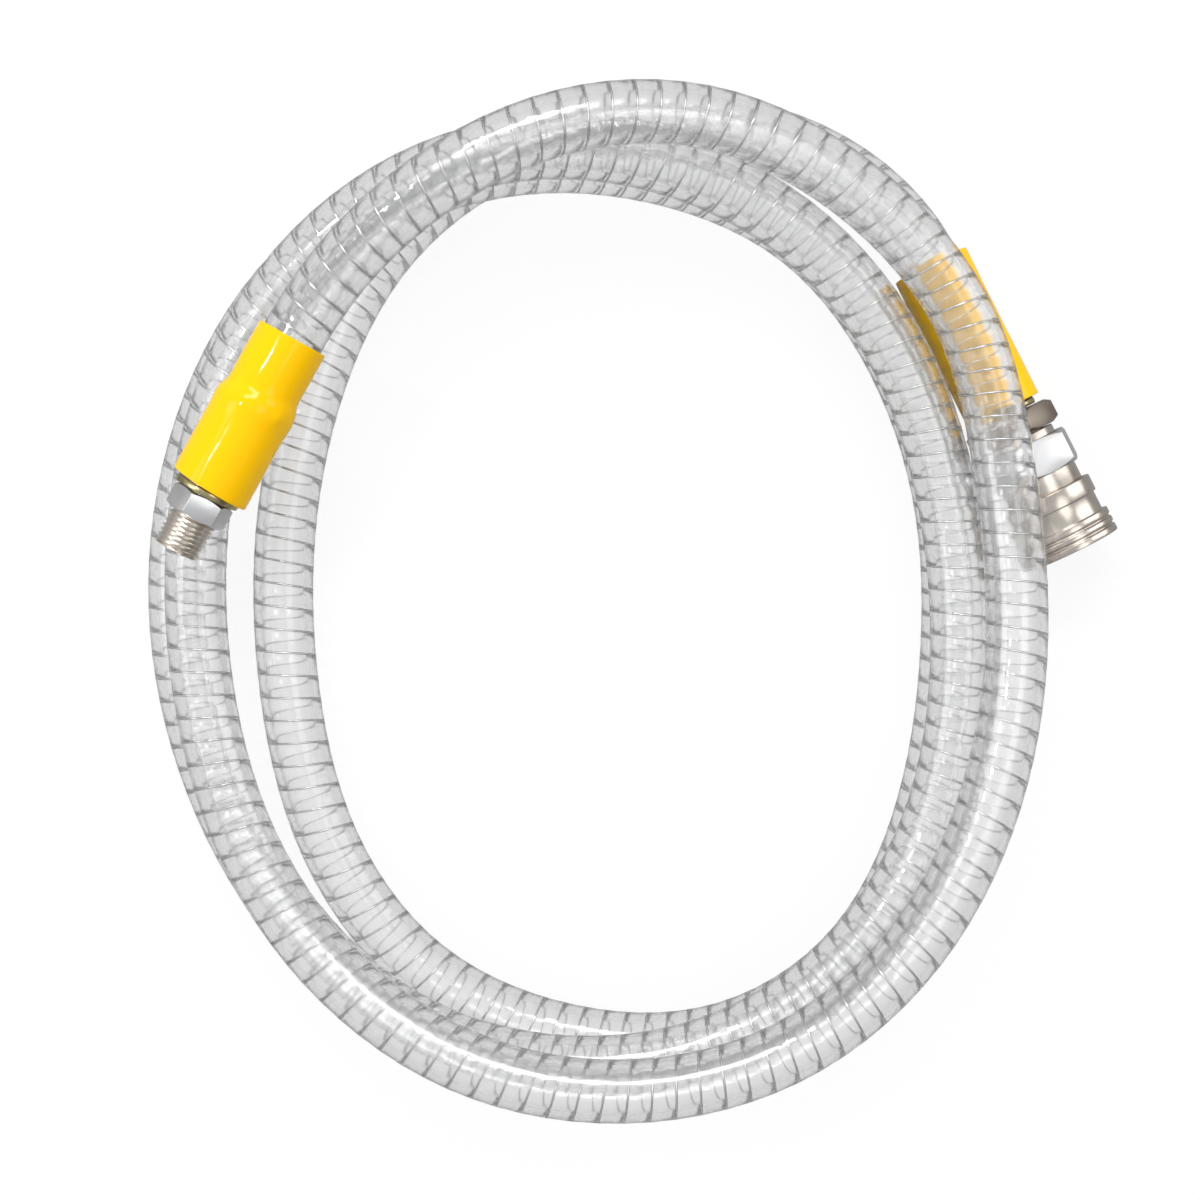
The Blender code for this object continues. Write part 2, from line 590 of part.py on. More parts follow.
def make_valve_guide(frame):
    rim = GUIDE_CHAMBER_DIAMETER / 2 - GAP
    hub = VALVE_STEM_DIAMETER / 2 + GAP
    guide = turned("valve_guide", [
        (hub, GUIDE_START), (rim, GUIDE_START), (rim, GUIDE_END), (hub, GUIDE_END),
    ], nickel)
    for i in range(GUIDE_HOLES):
        turn = Matrix.Rotation((i + 0.5) * math.tau / GUIDE_HOLES, 4, "Z")
        shift = Matrix.Translation((GUIDE_HOLE_CIRCLE / 2 * MM, 0.0, 0.0))
        drill(guide, GUIDE_HOLE_DIAMETER / 2, GUIDE_START - UNDERCUT, GUIDE_END + UNDERCUT,
              turn @ shift)
    place_on(guide, frame)


def make_balls(frame):
    for i in range(BALL_COUNT):
        angle = i * math.tau / BALL_COUNT
        shape = bmesh.new()
        bmesh.ops.create_uvsphere(shape, u_segments=12, v_segments=7,
                                  radius=BALL_DIAMETER / 2 * MM)
        mesh = bpy.data.meshes.new(f"locking_ball_{i + 1}")
        shape.to_mesh(mesh)
        shape.free()
        mesh.shade_smooth()
        ball = add_object(f"locking_ball_{i + 1}", mesh, ball_steel)
        ball.parent = frame
        ball.location = (BALL_CENTRE_RADIUS * math.cos(angle) * MM,
                         BALL_CENTRE_RADIUS * math.sin(angle) * MM, BALL_PLACE * MM)


clear_scene()
end_a = fitting_frame("end_a", END_A_PLACE, END_A_WAY)
end_b = fitting_frame("end_b", END_B_PLACE, END_B_WAY)
make_hose()
make_sleeve("yellow_sleeve_a", end_a, SLEEVE_NARROW_BORE, SLEEVE_END_LEAN)
make_sleeve("yellow_sleeve_b", end_b, SLEEVE_WIDE_BORE, 0.0)
make_ferrule("ferrule_a", end_a)
make_ferrule("ferrule_b", end_b)
make_nipple("nipple_a", end_a, HEX_A_FLATS, HEX_A_LENGTH, HEX_A_TURN, THREAD_A_DIAMETER,
            THREAD_A_LENGTH, THREAD_TAPER)
make_nipple("nipple_b", end_b, HEX_B_FLATS, HEX_B_LENGTH, HEX_B_TURN, THREAD_B_DIAMETER,
            THREAD_B_LENGTH, 0.0)
make_adapter(end_b)
make_body(end_b)
make_sliding_sleeve(end_b)
make_collar_spring(end_b)
make_retaining_ring(end_b)
place_on(torus_ring("plug_seal", SEAL_BORE, SEAL_WIRE, SEAL_PLACE, rubber), end_b)
make_valve(end_b)
make_valve_spring(end_b)
make_valve_guide(end_b)
make_balls(end_b)
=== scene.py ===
# A water hose of clear wire-wound PVC, coiled on a pale floor and seen from straight above. One
# end has a threaded nipple, the other a quick coupler. Lengths are in millimetres and become
# metres where a piece is made. Places on an end fitting are measured along it from the end of its
# yellow sleeve that faces the hose. Lamps are placed in metres.
import math

import bpy
import numpy as np
from mathutils import Matrix, Vector


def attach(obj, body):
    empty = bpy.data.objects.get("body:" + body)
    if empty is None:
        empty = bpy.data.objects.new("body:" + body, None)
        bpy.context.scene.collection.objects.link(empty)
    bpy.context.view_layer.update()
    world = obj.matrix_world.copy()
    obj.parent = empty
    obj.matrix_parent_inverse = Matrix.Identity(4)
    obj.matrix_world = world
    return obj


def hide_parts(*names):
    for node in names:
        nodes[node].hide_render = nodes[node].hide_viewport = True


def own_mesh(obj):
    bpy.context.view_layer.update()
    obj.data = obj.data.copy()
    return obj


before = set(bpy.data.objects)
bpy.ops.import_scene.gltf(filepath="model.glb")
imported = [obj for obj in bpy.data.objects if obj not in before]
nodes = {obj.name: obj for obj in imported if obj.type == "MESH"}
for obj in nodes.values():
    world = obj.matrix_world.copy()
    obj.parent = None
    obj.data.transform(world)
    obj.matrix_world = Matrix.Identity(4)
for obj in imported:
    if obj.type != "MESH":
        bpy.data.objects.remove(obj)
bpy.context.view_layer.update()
MM = 0.001
ROOT = "hose_assembly"

# Camera
# A long lens straight above the coil, a little to the left of its middle, with the top of the
# picture towards +Y.
CAMERA_PLACE = (-8.7, -2.2, 630.0)
LENS = 65.0
SENSOR = 36.0

bpy.ops.object.camera_add(location=[part * MM for part in CAMERA_PLACE], rotation=(0, 0, 0))
camera = bpy.context.object
camera.data.lens = LENS
camera.data.sensor_width = SENSOR
camera.data.clip_start = 0.01
bpy.context.scene.camera = camera

# Hose
# Soft PVC is extruded as a clear tube round a steel wire that is wound left-handed, and the
# wall swells a little over each turn of the wire, most of all into the bore. It was coiled by
# hand and lies strand on strand, from the coupler on the floor to the nipple on top. End A is
# the nipple's and end B the coupler's, and each way points out of the hose.
HOSE_RADIUS = 8.5
HOSE_WALL = 2.5
HOSE_SWELL = 0.04
BORE_SWELL = 0.18
HOSE_SIDES = 24
HOSE_RING_STEP = 1.3
HOSE_ENTRY = 46.4
ROUTE_STEP = 1.0
WELD_GAP = 0.002
WIRE_RADIUS = 0.33
WIRE_PLACE = 7.5
WIRE_PITCH = 6.5
WIRE_STEPS = 22
WIRE_SIDES = 6
WIRE_LOOK_AHEAD = 0.5
END_A_PLACE = (-90.9, 67.9, 50.6)
END_A_WAY = (-0.489, -0.872, -0.035)
END_B_PLACE = (85.3, 92.9, 13.95)
END_B_WAY = (0.447, -0.894, 0.0)
HOSE_ROUTE = (
    (53.0, 124.5, 12.2), (9.0, 134.2, 10.0), (-34.5, 125.5, 9.0), (-70.0, 98.5, 8.6),
    (-90.5, 59.0, 8.6), (-99.0, 15.0, 8.6), (-97.5, -29.5, 8.6), (-86.0, -72.5, 8.6),
    (-59.0, -108.0, 8.6), (-18.5, -126.5, 8.6), (25.5, -126.5, 8.6), (63.0, -103.5, 8.6),
    (84.0, -64.0, 8.6), (91.5, -20.0, 8.6), (90.0, 24.5, 8.6), (76.0, 67.0, 9.0),
    (48.5, 101.0, 11.8), (8.0, 117.9, 18.8), (-36.0, 118.5, 26.2), (-77.5, 103.0, 24.2),
    (-109.0, 73.0, 14.0), (-126.0, 32.5, 9.5), (-129.0, -12.0, 8.6), (-118.5, -55.5, 9.5),
    (-95.5, -93.5, 14.5), (-61.5, -121.0, 21.5), (-19.0, -132.0, 26.0), (25.0, -125.5, 26.5),
    (61.5, -100.5, 26.5), (84.5, -62.5, 26.5), (91.8, -18.5, 26.5), (87.9, 26.8, 26.5),
    (72.3, 69.7, 28.5), (41.9, 102.6, 32.5), (0.5, 119.0, 39.2), (-43.5, 117.0, 44.3),
    (-82.5, 96.0, 40.5), (-109.0, 61.5, 33.0), (-120.5, 18.5, 27.5), (-119.5, -26.0, 26.0),
    (-107.0, -68.5, 29.5), (-81.0, -104.5, 35.5), (-44.0, -128.0, 42.0), (0.0, -135.0, 44.0),
    (43.0, -124.0, 44.0), (77.0, -95.5, 43.0), (97.5, -56.0, 41.0), (105.2, -12.5, 37.5),
    (102.4, 31.8, 36.0), (91.0, 75.0, 36.5), (62.0, 108.5, 40.5), (22.5, 126.5, 49.0),
    (-20.0, 123.0, 60.2), (-59.5, 102.5, 59.6),
)


def unit(vector):
    # The same direction, one long
    return np.array(vector, float) / np.linalg.norm(vector)


def smooth_curve(points, start_way, end_way, step):
    # A cubic spline through the points, leaving and arriving along the two given ways
    knots = np.array(points, float)
    chord = np.r_[0.0, np.cumsum(np.linalg.norm(np.diff(knots, axis=0), axis=1))]
    spans = np.diff(chord)
    slopes = np.diff(knots, axis=0) / spans[:, None]
    count = len(knots)
    system = np.zeros((count, count))
    bend = np.zeros((count, 3))
    system[0, :2] = (2 * spans[0], spans[0])
    bend[0] = 6 * (slopes[0] - unit(start_way))
    for i in range(1, count - 1):
        system[i, i - 1:i + 2] = (spans[i - 1], 2 * (spans[i - 1] + spans[i]), spans[i])
        bend[i] = 6 * (slopes[i] - slopes[i - 1])
    system[-1, -2:] = (spans[-1], 2 * spans[-1])
    bend[-1] = 6 * (unit(end_way) - slopes[-1])
    second = np.linalg.solve(system, bend)
    places = np.linspace(0.0, chord[-1], round(chord[-1] / step) + 1)
    at = np.clip(np.searchsorted(chord, places, side="right") - 1, 0, count - 2)
    width = spans[at][:, None]
    right = (places - chord[at])[:, None]
    left = width - right
    return ((second[at] * left ** 3 + second[at + 1] * right ** 3) / (6 * width)
            + (knots[at] / width - second[at] * width / 6) * left
            + (knots[at + 1] / width - second[at + 1] * width / 6) * right)


def route_frames(centres):
    # Two directions square to the hose at each centre, carried along it without a twist
    ways = np.gradient(centres, axis=0)
    ways /= np.linalg.norm(ways, axis=1)[:, None]
    sides = np.empty_like(centres)
    sides[0] = unit(np.cross((0.0, 0.0, 1.0), ways[0]))
    for i in range(1, len(centres)):
        side = sides[i - 1] - ways[i] * np.dot(sides[i - 1], ways[i])
        sides[i] = side / np.linalg.norm(side)
    return sides, np.cross(ways, sides)


entry_b = np.array(END_B_PLACE) + unit(END_B_WAY) * HOSE_ENTRY
entry_a = np.array(END_A_PLACE) + unit(END_A_WAY) * HOSE_ENTRY
route = smooth_curve((END_B_PLACE, *HOSE_ROUTE, END_A_PLACE), -unit(END_B_WAY), END_A_WAY,
                     ROUTE_STEP)
straight = np.linspace(1.0, 0.0, round(HOSE_ENTRY / ROUTE_STEP), endpoint=False)[:, None]
centres = np.concatenate([
    END_B_PLACE + (entry_b - END_B_PLACE) * straight, route,
    (END_A_PLACE + (entry_a - END_A_PLACE) * straight)[::-1],
])
along = np.r_[0.0, np.cumsum(np.linalg.norm(np.diff(centres, axis=0), axis=1))]
route_length = along[-1]
first_sides, second_sides = route_frames(centres)


def on_route(distance, turn, radius):
    # The points at a distance along the hose, an angle round it and a radius from its middle
    point = np.empty((len(distance), 3))
    for axis in range(3):
        centre = np.interp(distance, along, centres[:, axis])
        first = np.interp(distance, along, first_sides[:, axis])
        second = np.interp(distance, along, second_sides[:, axis])
        point[:, axis] = centre + radius * (first * np.cos(turn) + second * np.sin(turn))
    return point * MM


def rolled_grid(name, columns, rows):
    # A flat grid, one high and one wide, and where each of its points lies on it
    bpy.ops.object.select_all(action="DESELECT")
    bpy.ops.mesh.primitive_grid_add(x_subdivisions=columns, y_subdivisions=rows, size=2)
    piece = bpy.context.object
    piece.name = name
    flat = np.empty(len(piece.data.vertices) * 3)
    piece.data.vertices.foreach_get("co", flat)
    flat = (flat.reshape(-1, 3) + 1) / 2
    return piece, flat[:, 0], flat[:, 1]


def close_grid(piece, points):
    # Moves the grid's points to their places and joins its two long edges
    piece.data.vertices.foreach_set("co", points.ravel())
    bpy.ops.object.mode_set(mode="EDIT")
    bpy.ops.mesh.select_all(action="SELECT")
    bpy.ops.mesh.remove_doubles(threshold=WELD_GAP * MM)
    bpy.ops.mesh.normals_make_consistent(inside=False)
    bpy.ops.object.mode_set(mode="OBJECT")


def keep_values(piece, name, values):
    # Stores a number for each point, to be read back once the mesh has changed
    store = piece.data.attributes.new(name, "FLOAT", "POINT")
    store.data.foreach_set("value", values)


def kept_values(piece, name):
    # Reads the stored numbers and clears them away
    store = piece.data.attributes[name]
    values = np.empty(len(piece.data.vertices))
    store.data.foreach_get("value", values)
    piece.data.attributes.remove(store)
    return values


def apply_all(piece):
    # Applies a piece's modifiers in their order
    bpy.context.view_layer.objects.active = piece
    for step in list(piece.modifiers):
        bpy.ops.object.modifier_apply(modifier=step.name)


def linear(code):
    # A colour written as an sRGB hex value, as the shader takes it
    parts = [int(code[i:i + 2], 16) / 255 for i in (1, 3, 5)]
    parts = [p / 12.92 if p <= 0.04045 else ((p + 0.055) / 1.055) ** 2.4 for p in parts]
    return (*parts, 1.0)


def new_material(name, **values):
    # A material with its shader's plain values set
    material = bpy.data.materials.new(name)
    material.use_nodes = True
    shader = material.node_tree.nodes["Principled BSDF"]
    for key, value in values.items():
        shader.inputs[key.replace("_", " ")].default_value = value
    return material, shader


def add_node(tree, kind, values=None, **links):
    # Adds one node, sets its values and links its inputs; a number names an input by its place
    node = tree.nodes.new(kind)
    for key, value in (values or {}).items():
        if isinstance(key, int) or key in node.inputs:
            node.inputs[key].default_value = value
        else:
            setattr(node, key, value)
    for key, source in links.items():
        tree.links.new(source, node.inputs[key.replace("_", " ")])
    return node


def two_tone(tree, amount, low, high):
    # A colour that runs between two, each given with the amount at which it is reached
    ramp = add_node(tree, "ShaderNodeValToRGB", Fac=amount)
    for end, (position, colour) in zip(ramp.color_ramp.elements, (low, high)):
        end.position = position
        end.color = colour
    return ramp.outputs["Color"]


def dress(piece, material):
    # Gives a piece its only material
    piece.data.materials.clear()
    piece.data.materials.append(material)


# Clear plasticised PVC
# It refracts as glass does and throws hardly any shadow. The die leaves fine lines along it, and
# its skin is not quite optical, so the strands below wobble when seen through it. The bore's
# side leaves the die duller than the outside, and is never wiped.
SKIN_ROUGHNESS = 0.03
BORE_ROUGHNESS = 0.2
SHADOW_LET_THROUGH = 0.98
DIE_LINES = 130.0
DIE_RUN = 12.0


def clear_plastic(name, roughness):
    material, shader = new_material(name, Base_Color=linear("#FDFDFD"), Roughness=roughness,
                                    IOR=1.5, Transmission_Weight=0.97)
    tree = material.node_tree
    ray = add_node(tree, "ShaderNodeLightPath").outputs["Is Shadow Ray"]
    solidity = add_node(tree, "ShaderNodeMath", {"operation": "MULTIPLY_ADD",
                                                 1: -SHADOW_LET_THROUGH, 2: 1.0})
    tree.links.new(ray, solidity.inputs[0])
    tree.links.new(solidity.outputs["Value"], shader.inputs["Alpha"])
    return material, shader


clear_pvc, shader = clear_plastic("clear_extruded_pvc", SKIN_ROUGHNESS)
tree = clear_pvc.node_tree
ripple = add_node(tree, "ShaderNodeTexNoise", {"Scale": 200.0, "Detail": 0.0},
                  Vector=add_node(tree, "ShaderNodeTexCoord").outputs["Object"])
skin_bump = add_node(tree, "ShaderNodeBump", {"Strength": 0.35, "Distance": 0.0004},
                     Height=ripple.outputs["Fac"])
unrolled = add_node(tree, "ShaderNodeMapping", {"Scale": (DIE_LINES, route_length / DIE_RUN, 1.0)},
                    Vector=add_node(tree, "ShaderNodeUVMap").outputs["UV"])
die_lines = add_node(tree, "ShaderNodeTexNoise", {"Scale": 1.0, "Detail": 0.0},
                     Vector=unrolled.outputs["Vector"])
bump = add_node(tree, "ShaderNodeBump", {"Strength": 0.3, "Distance": 0.00006},
                Height=die_lines.outputs["Fac"], Normal=skin_bump.outputs["Normal"])
tree.links.new(bump.outputs["Normal"], shader.inputs["Normal"])
bore_pvc = clear_plastic("clear_pvc_bore", BORE_ROUGHNESS)[0]

# The hose is one sheet rolled round the route and given a wall, whose inner points then swell
# into the bore. The turn and the distance of each point are kept while its mesh changes.
hose, turn, share = rolled_grid("clear_hose", HOSE_SIDES, round(route_length / HOSE_RING_STEP))
turn = turn * math.tau
distance = share * route_length
keep_values(hose, "turn", turn)
keep_values(hose, "distance", distance)
over_wire = np.cos(distance / WIRE_PITCH * math.tau + turn)
close_grid(hose, on_route(distance, turn, HOSE_RADIUS + HOSE_SWELL * over_wire))
outer_points = len(hose.data.vertices)
wall = hose.modifiers.new("wall", "SOLIDIFY")
wall.thickness = HOSE_WALL * MM
wall.offset = -1.0
apply_all(hose)
turn = kept_values(hose, "turn")
distance = kept_values(hose, "distance")
over_wire = np.cos(distance / WIRE_PITCH * math.tau + turn)
radius = HOSE_RADIUS + HOSE_SWELL * over_wire
radius[outer_points:] = HOSE_RADIUS - HOSE_WALL - BORE_SWELL * over_wire[outer_points:]
hose.data.vertices.foreach_set("co", on_route(distance, turn, radius).ravel())
hose.data.update()
bpy.ops.object.shade_smooth()
dress(hose, clear_pvc)
hose.data.materials.append(bore_pvc)
for face in hose.data.polygons:
    if min(face.vertices) >= outer_points:
        face.material_index = 1
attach(hose, ROOT)
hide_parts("hose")

# Winding wire
# Hard drawn steel with a zinc coat: light grey, with a sharp streak of light along each turn. It
# starts and ends a little inside the hose, with both ends closed.
wire_steel = new_material("drawn_steel_wire", Base_Color=linear("#E6E6E4"), Metallic=1.0,
                          Roughness=0.2)[0]
wire_run = route_length - 4 * WIRE_RADIUS
wire, turn, share = rolled_grid("winding_wire", WIRE_SIDES,
                                round(wire_run / WIRE_PITCH * WIRE_STEPS))
spread = 2 * WIRE_RADIUS + share * wire_run
wind = -spread / WIRE_PITCH * math.tau
middle = on_route(spread, wind, WIRE_PLACE)
outward = (on_route(spread, wind, WIRE_PLACE + 1.0) - middle) / MM
sideways = (on_route(spread + WIRE_LOOK_AHEAD, wind, WIRE_PLACE) - middle) / MM
sideways /= np.linalg.norm(sideways, axis=1)[:, None]
ring = turn[:, None] * math.tau
close_grid(wire, middle + (outward * np.cos(ring) + sideways * np.sin(ring)) * WIRE_RADIUS * MM)
bpy.ops.object.mode_set(mode="EDIT")
bpy.ops.mesh.select_all(action="SELECT")
bpy.ops.mesh.fill_holes(sides=WIRE_SIDES)
bpy.ops.mesh.normals_make_consistent(inside=False)
bpy.ops.object.mode_set(mode="OBJECT")
bpy.ops.object.shade_smooth()
dress(wire, wire_steel)
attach(wire, ROOT)


# Yellow sleeves
# A soft PVC sleeve is slid over each crimped joint. The nipple's one steps up from the hose to the
# ferrule and its mouth was cut a little out of square; the coupler's one is a plain tube.
SLEEVE_LENGTH = 46.0
SLEEVE_NARROW = 9.8
SLEEVE_WIDE = 11.0
SLEEVE_WALL = 1.0
SLEEVE_LEAN = math.radians(3.6)
SLEEVE_ROWS = 60
STEP_MIDDLE = 17.9
STEP_SLANT = 1.0
STEP_SOFTNESS = 0.75
SHOULDER = (21.6, 3.0, 0.28)
BUMP_PLACE = (0.72, 20.4)
BUMP_SIZE = (1.7, 0.45)
FRONT_SHARE = 0.35
DENT_FADE = 3.0
HAND_WAVES = ((2, 0.06, 0.19, 0.4), (3, 0.04, 0.31, 1.9), (5, 0.02, 0.52, 3.1))
SMOOTH_ANGLE = 35
TURNED_WELD = 0.001


def fitting_matrix(place, way):
    # From a fitting's own millimetres, with +Z out of the hose, to metres in the scene
    out = Vector(unit(way))
    right = Vector((0.0, 0.0, 1.0)).cross(out).normalized()
    turn = Matrix((right, out.cross(right), out)).transposed().to_4x4()
    return Matrix.Translation(Vector(place) * MM) @ turn @ Matrix.Scale(MM, 4)


END_A = fitting_matrix(END_A_PLACE, END_A_WAY)
END_B = fitting_matrix(END_B_PLACE, END_B_WAY)


def turned(name, rings, sides=72):
    # Turned on a lathe: one ring of points is drawn out through each (radius, height) in turn,
    # and the last one is joined to the first
    bpy.ops.object.select_all(action="DESELECT")
    last_radius, last_height = rings[0]
    bpy.ops.mesh.primitive_circle_add(vertices=sides, radius=last_radius,
                                      location=(0, 0, last_height))
    piece = bpy.context.object
    piece.name = name
    bpy.ops.object.transform_apply(location=True)
    bpy.ops.object.mode_set(mode="EDIT")
    bpy.ops.mesh.select_all(action="SELECT")
    for radius, height in (*rings[1:], rings[0]):
        rise = {"value": (0, 0, height - last_height)}
        bpy.ops.mesh.extrude_region_move(TRANSFORM_OT_translate=rise)
        spread = radius / last_radius
        bpy.ops.transform.resize(value=(spread, spread, 1), center_override=(0, 0, 0))
        last_radius, last_height = radius, height
    bpy.ops.mesh.select_all(action="SELECT")
    bpy.ops.mesh.remove_doubles(threshold=TURNED_WELD)
    bpy.ops.mesh.normals_make_consistent(inside=False)
    bpy.ops.object.mode_set(mode="OBJECT")
    return piece


def shade(piece, angle):
    # Shades a piece smooth apart from the edges that are sharper than the angle
    bpy.ops.object.select_all(action="DESELECT")
    piece.select_set(True)
    bpy.context.view_layer.objects.active = piece
    bpy.ops.object.shade_smooth_by_angle(angle=math.radians(angle))


def soften(piece, width, angle=30, segments=2):
    # Rounds a piece's sharp edges and shades the rest smooth
    bevel = piece.modifiers.new("edge", "BEVEL")
    bevel.width = width
    bevel.segments = segments
    bevel.limit_method = "ANGLE"
    bevel.angle_limit = math.radians(angle)
    apply_all(piece)
    shade(piece, SMOOTH_ANGLE)


def fix_on(piece, fitting, body, *replaced):
    # Puts a finished piece in its place on a fitting, and on its body
    piece.data.transform(fitting)
    piece.data.update()
    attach(piece, body)
    if replaced:
        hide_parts(*replaced)


# Plasticised PVC, dip moulded: a deep even yellow with a wet gloss
yellow_pvc, shader = new_material("dipped_yellow_pvc", Base_Color=linear("#FFC500"),
                                  Roughness=0.09, IOR=1.5, Specular_IOR_Level=0.2)
tree = yellow_pvc.node_tree
skin = add_node(tree, "ShaderNodeTexNoise", {"Scale": 150.0, "Detail": 1.0},
                Vector=add_node(tree, "ShaderNodeTexCoord").outputs["Object"])
bump = add_node(tree, "ShaderNodeBump", {"Strength": 0.2, "Distance": 0.0003},
                Height=skin.outputs["Fac"])
tree.links.new(bump.outputs["Normal"], shader.inputs["Normal"])


def sleeve_skin(angle, height, narrow):
    # The outer radius at a place on a sleeve. A stepped one has an S from the narrow part to the
    # wide one that swells past the step, and one small bump. Both have faint dents, left by the
    # hand that fitted them and shallower over the ferrule than over the hose.
    radius = SLEEVE_WIDE
    inner_part = 1 / (1 + math.exp((height - STEP_MIDDLE - DENT_FADE) / DENT_FADE))
    if narrow < SLEEVE_WIDE:
        middle = STEP_MIDDLE - STEP_SLANT * math.cos(angle)
        radius -= (SLEEVE_WIDE - narrow) / (1 + math.exp((height - middle) / STEP_SOFTNESS))
        place, width, rise = SHOULDER
        radius += rise * math.exp(-((height - place) / width) ** 2)
        reach = math.hypot((angle - BUMP_PLACE[0]) * SLEEVE_WIDE, height - BUMP_PLACE[1])
        radius += BUMP_SIZE[1] * math.exp(-(reach / BUMP_SIZE[0]) ** 2)
    for count, size, run, start in HAND_WAVES:
        depth = size * (FRONT_SHARE + (1 - FRONT_SHARE) * inner_part)
        radius += depth * math.sin(count * angle + run * height + start)
    return radius


def make_sleeve(name, fitting, node, narrow, lean):
    # A tube pushed to its skin's radius, with its mouth leaning by the given angle
    heights = [SLEEVE_LENGTH * i / SLEEVE_ROWS for i in range(SLEEVE_ROWS + 1)]
    outside = [(SLEEVE_WIDE, height) for height in heights]
    inside = [(SLEEVE_WIDE - SLEEVE_WALL, height) for height in reversed(heights)]
    sleeve = turned(name, outside + inside, sides=96)
    for corner in sleeve.data.vertices:
        angle = math.atan2(corner.co.y, corner.co.x)
        radius = math.hypot(corner.co.x, corner.co.y)
        spread = (radius - SLEEVE_WIDE + sleeve_skin(angle, corner.co.z, narrow)) / radius
        corner.co.z += corner.co.x * math.tan(lean) * max(0, corner.co.z / SLEEVE_LENGTH) ** 3
        corner.co.x *= spread
        corner.co.y *= spread
    soften(sleeve, 0.3, angle=50, segments=3)
    dress(sleeve, yellow_pvc)
    fix_on(sleeve, fitting, ROOT, node)
    return sleeve


make_sleeve("yellow_sleeve_on_nipple", END_A, "yellow_sleeve_a", SLEEVE_NARROW, SLEEVE_LEAN)
sleeve_b = make_sleeve("yellow_sleeve_on_coupler", END_B, "yellow_sleeve_b", SLEEVE_WIDE, 0.0)


# Ferrules
# A thin steel cup that was crimped over the hose's end. Only its rolled front edge shows
# past the sleeve, with the olive gold of its yellow zinc plating.
FERRULE_START = 19.9
FERRULE_END = 48.0
FERRULE_OUTSIDE = 9.7
FERRULE_INSIDE = 8.8
FERRULE_HOLE = 6.6
FERRULE_FLANGE = 1.3
ROLL_MIDDLE = 47.05
ROLL_RADIUS = 9.2
ROLL_SIZE = (0.34, 0.95)
ROLL_COVER = 1.0
ROLL_LEANS = range(-75, 91, 15)

zinc, shader = new_material("yellow_zinc_plate", Base_Color=linear("#B4A87C"), Metallic=1.0,
                            Roughness=0.22)
tree = zinc.node_tree
patch = add_node(tree, "ShaderNodeTexNoise", {"Scale": 320.0, "Detail": 3.0},
                 Vector=add_node(tree, "ShaderNodeTexCoord").outputs["Object"])
worn = two_tone(tree, patch.outputs["Fac"], (0.35, linear("#99906C")), (0.7, linear("#CDBF8A")))
tree.links.new(worn, shader.inputs["Base Color"])


def make_ferrule(name, fitting, node):
    # The cup, with its front edge rolled to half an oval
    deep, long = ROLL_SIZE
    roll = [(ROLL_RADIUS - deep * (1 - math.cos(math.radians(lean))),
             ROLL_MIDDLE + long * math.sin(math.radians(lean))) for lean in ROLL_LEANS]
    ferrule = turned(name, [
        (FERRULE_INSIDE, FERRULE_START), (FERRULE_OUTSIDE, FERRULE_START),
        (FERRULE_OUTSIDE, SLEEVE_LENGTH - ROLL_COVER), *roll, (FERRULE_HOLE, FERRULE_END),
        (FERRULE_HOLE, FERRULE_END - FERRULE_FLANGE),
        (FERRULE_INSIDE, FERRULE_END - FERRULE_FLANGE),
    ])
    soften(ferrule, 0.12, segments=2, angle=40)
    dress(ferrule, zinc)
    fix_on(ferrule, fitting, ROOT, node)
    return ferrule


make_ferrule("crimped_ferrule_at_nipple", END_A, "ferrule_a")
ferrule_b = make_ferrule("crimped_ferrule_at_coupler", END_B, "ferrule_b")


# Nipples
# Each is one piece of nickel-plated steel: a barbed tail in the hose, a hexagon milled from the
# bar with its corners turned down, and a male pipe thread. The free one's thread is tapered
# and is cut here as a true right-hand helix. A hexagon is its width across flats, its length
# and its turn round the fitting.
HEX_START = 48.3
TAIL_START = 23.1
TAIL_RADIUS = 5.4
TAIL_ROOT = 4.85
BARBS = 5
BARB_PITCH = 23.0 / 5.5
BARB_CREST = 0.85
NECK_RADIUS = 6.3
NECK_START = (46.4, 46.7)
NECK_OVERLAP = 1.0
BORE_RADIUS = 4.0
BORE_SKIN = 0.5
HEX_HOLE = BORE_RADIUS + 0.2
HEX_TURNED_DOWN = 0.985
HEX_CHAMFER = math.radians(30)
CORNER_SPARE = 0.01
BAR_SPARE = 4.0
HEX_A = (15.0, 6.5, math.radians(18.0))
HEX_B = (23.0, 6.8, math.radians(-20.0))
THREAD_A_RADIUS = 6.55
THREAD_A_LENGTH = 10.0
THREAD_B_RADIUS = 8.3
THREAD_B_LENGTH = 8.8
THREAD_PITCH = 1.337
THREAD_DEPTH = 0.78
THREAD_TAPER = 1 / 16
THREAD_ROW = 0.11
THREAD_SIDES = 96
THREAD_SMOOTH_ANGLE = 50
THREAD_FLAT = 0.08
THREAD_RUN_IN = (0.6, 0.35)
THREAD_RUN_OUT = 1.0
THREAD_OVERLAP = 2.0
THREAD_CHAMFER = 1.2
BORE_CHAMFER = 0.3


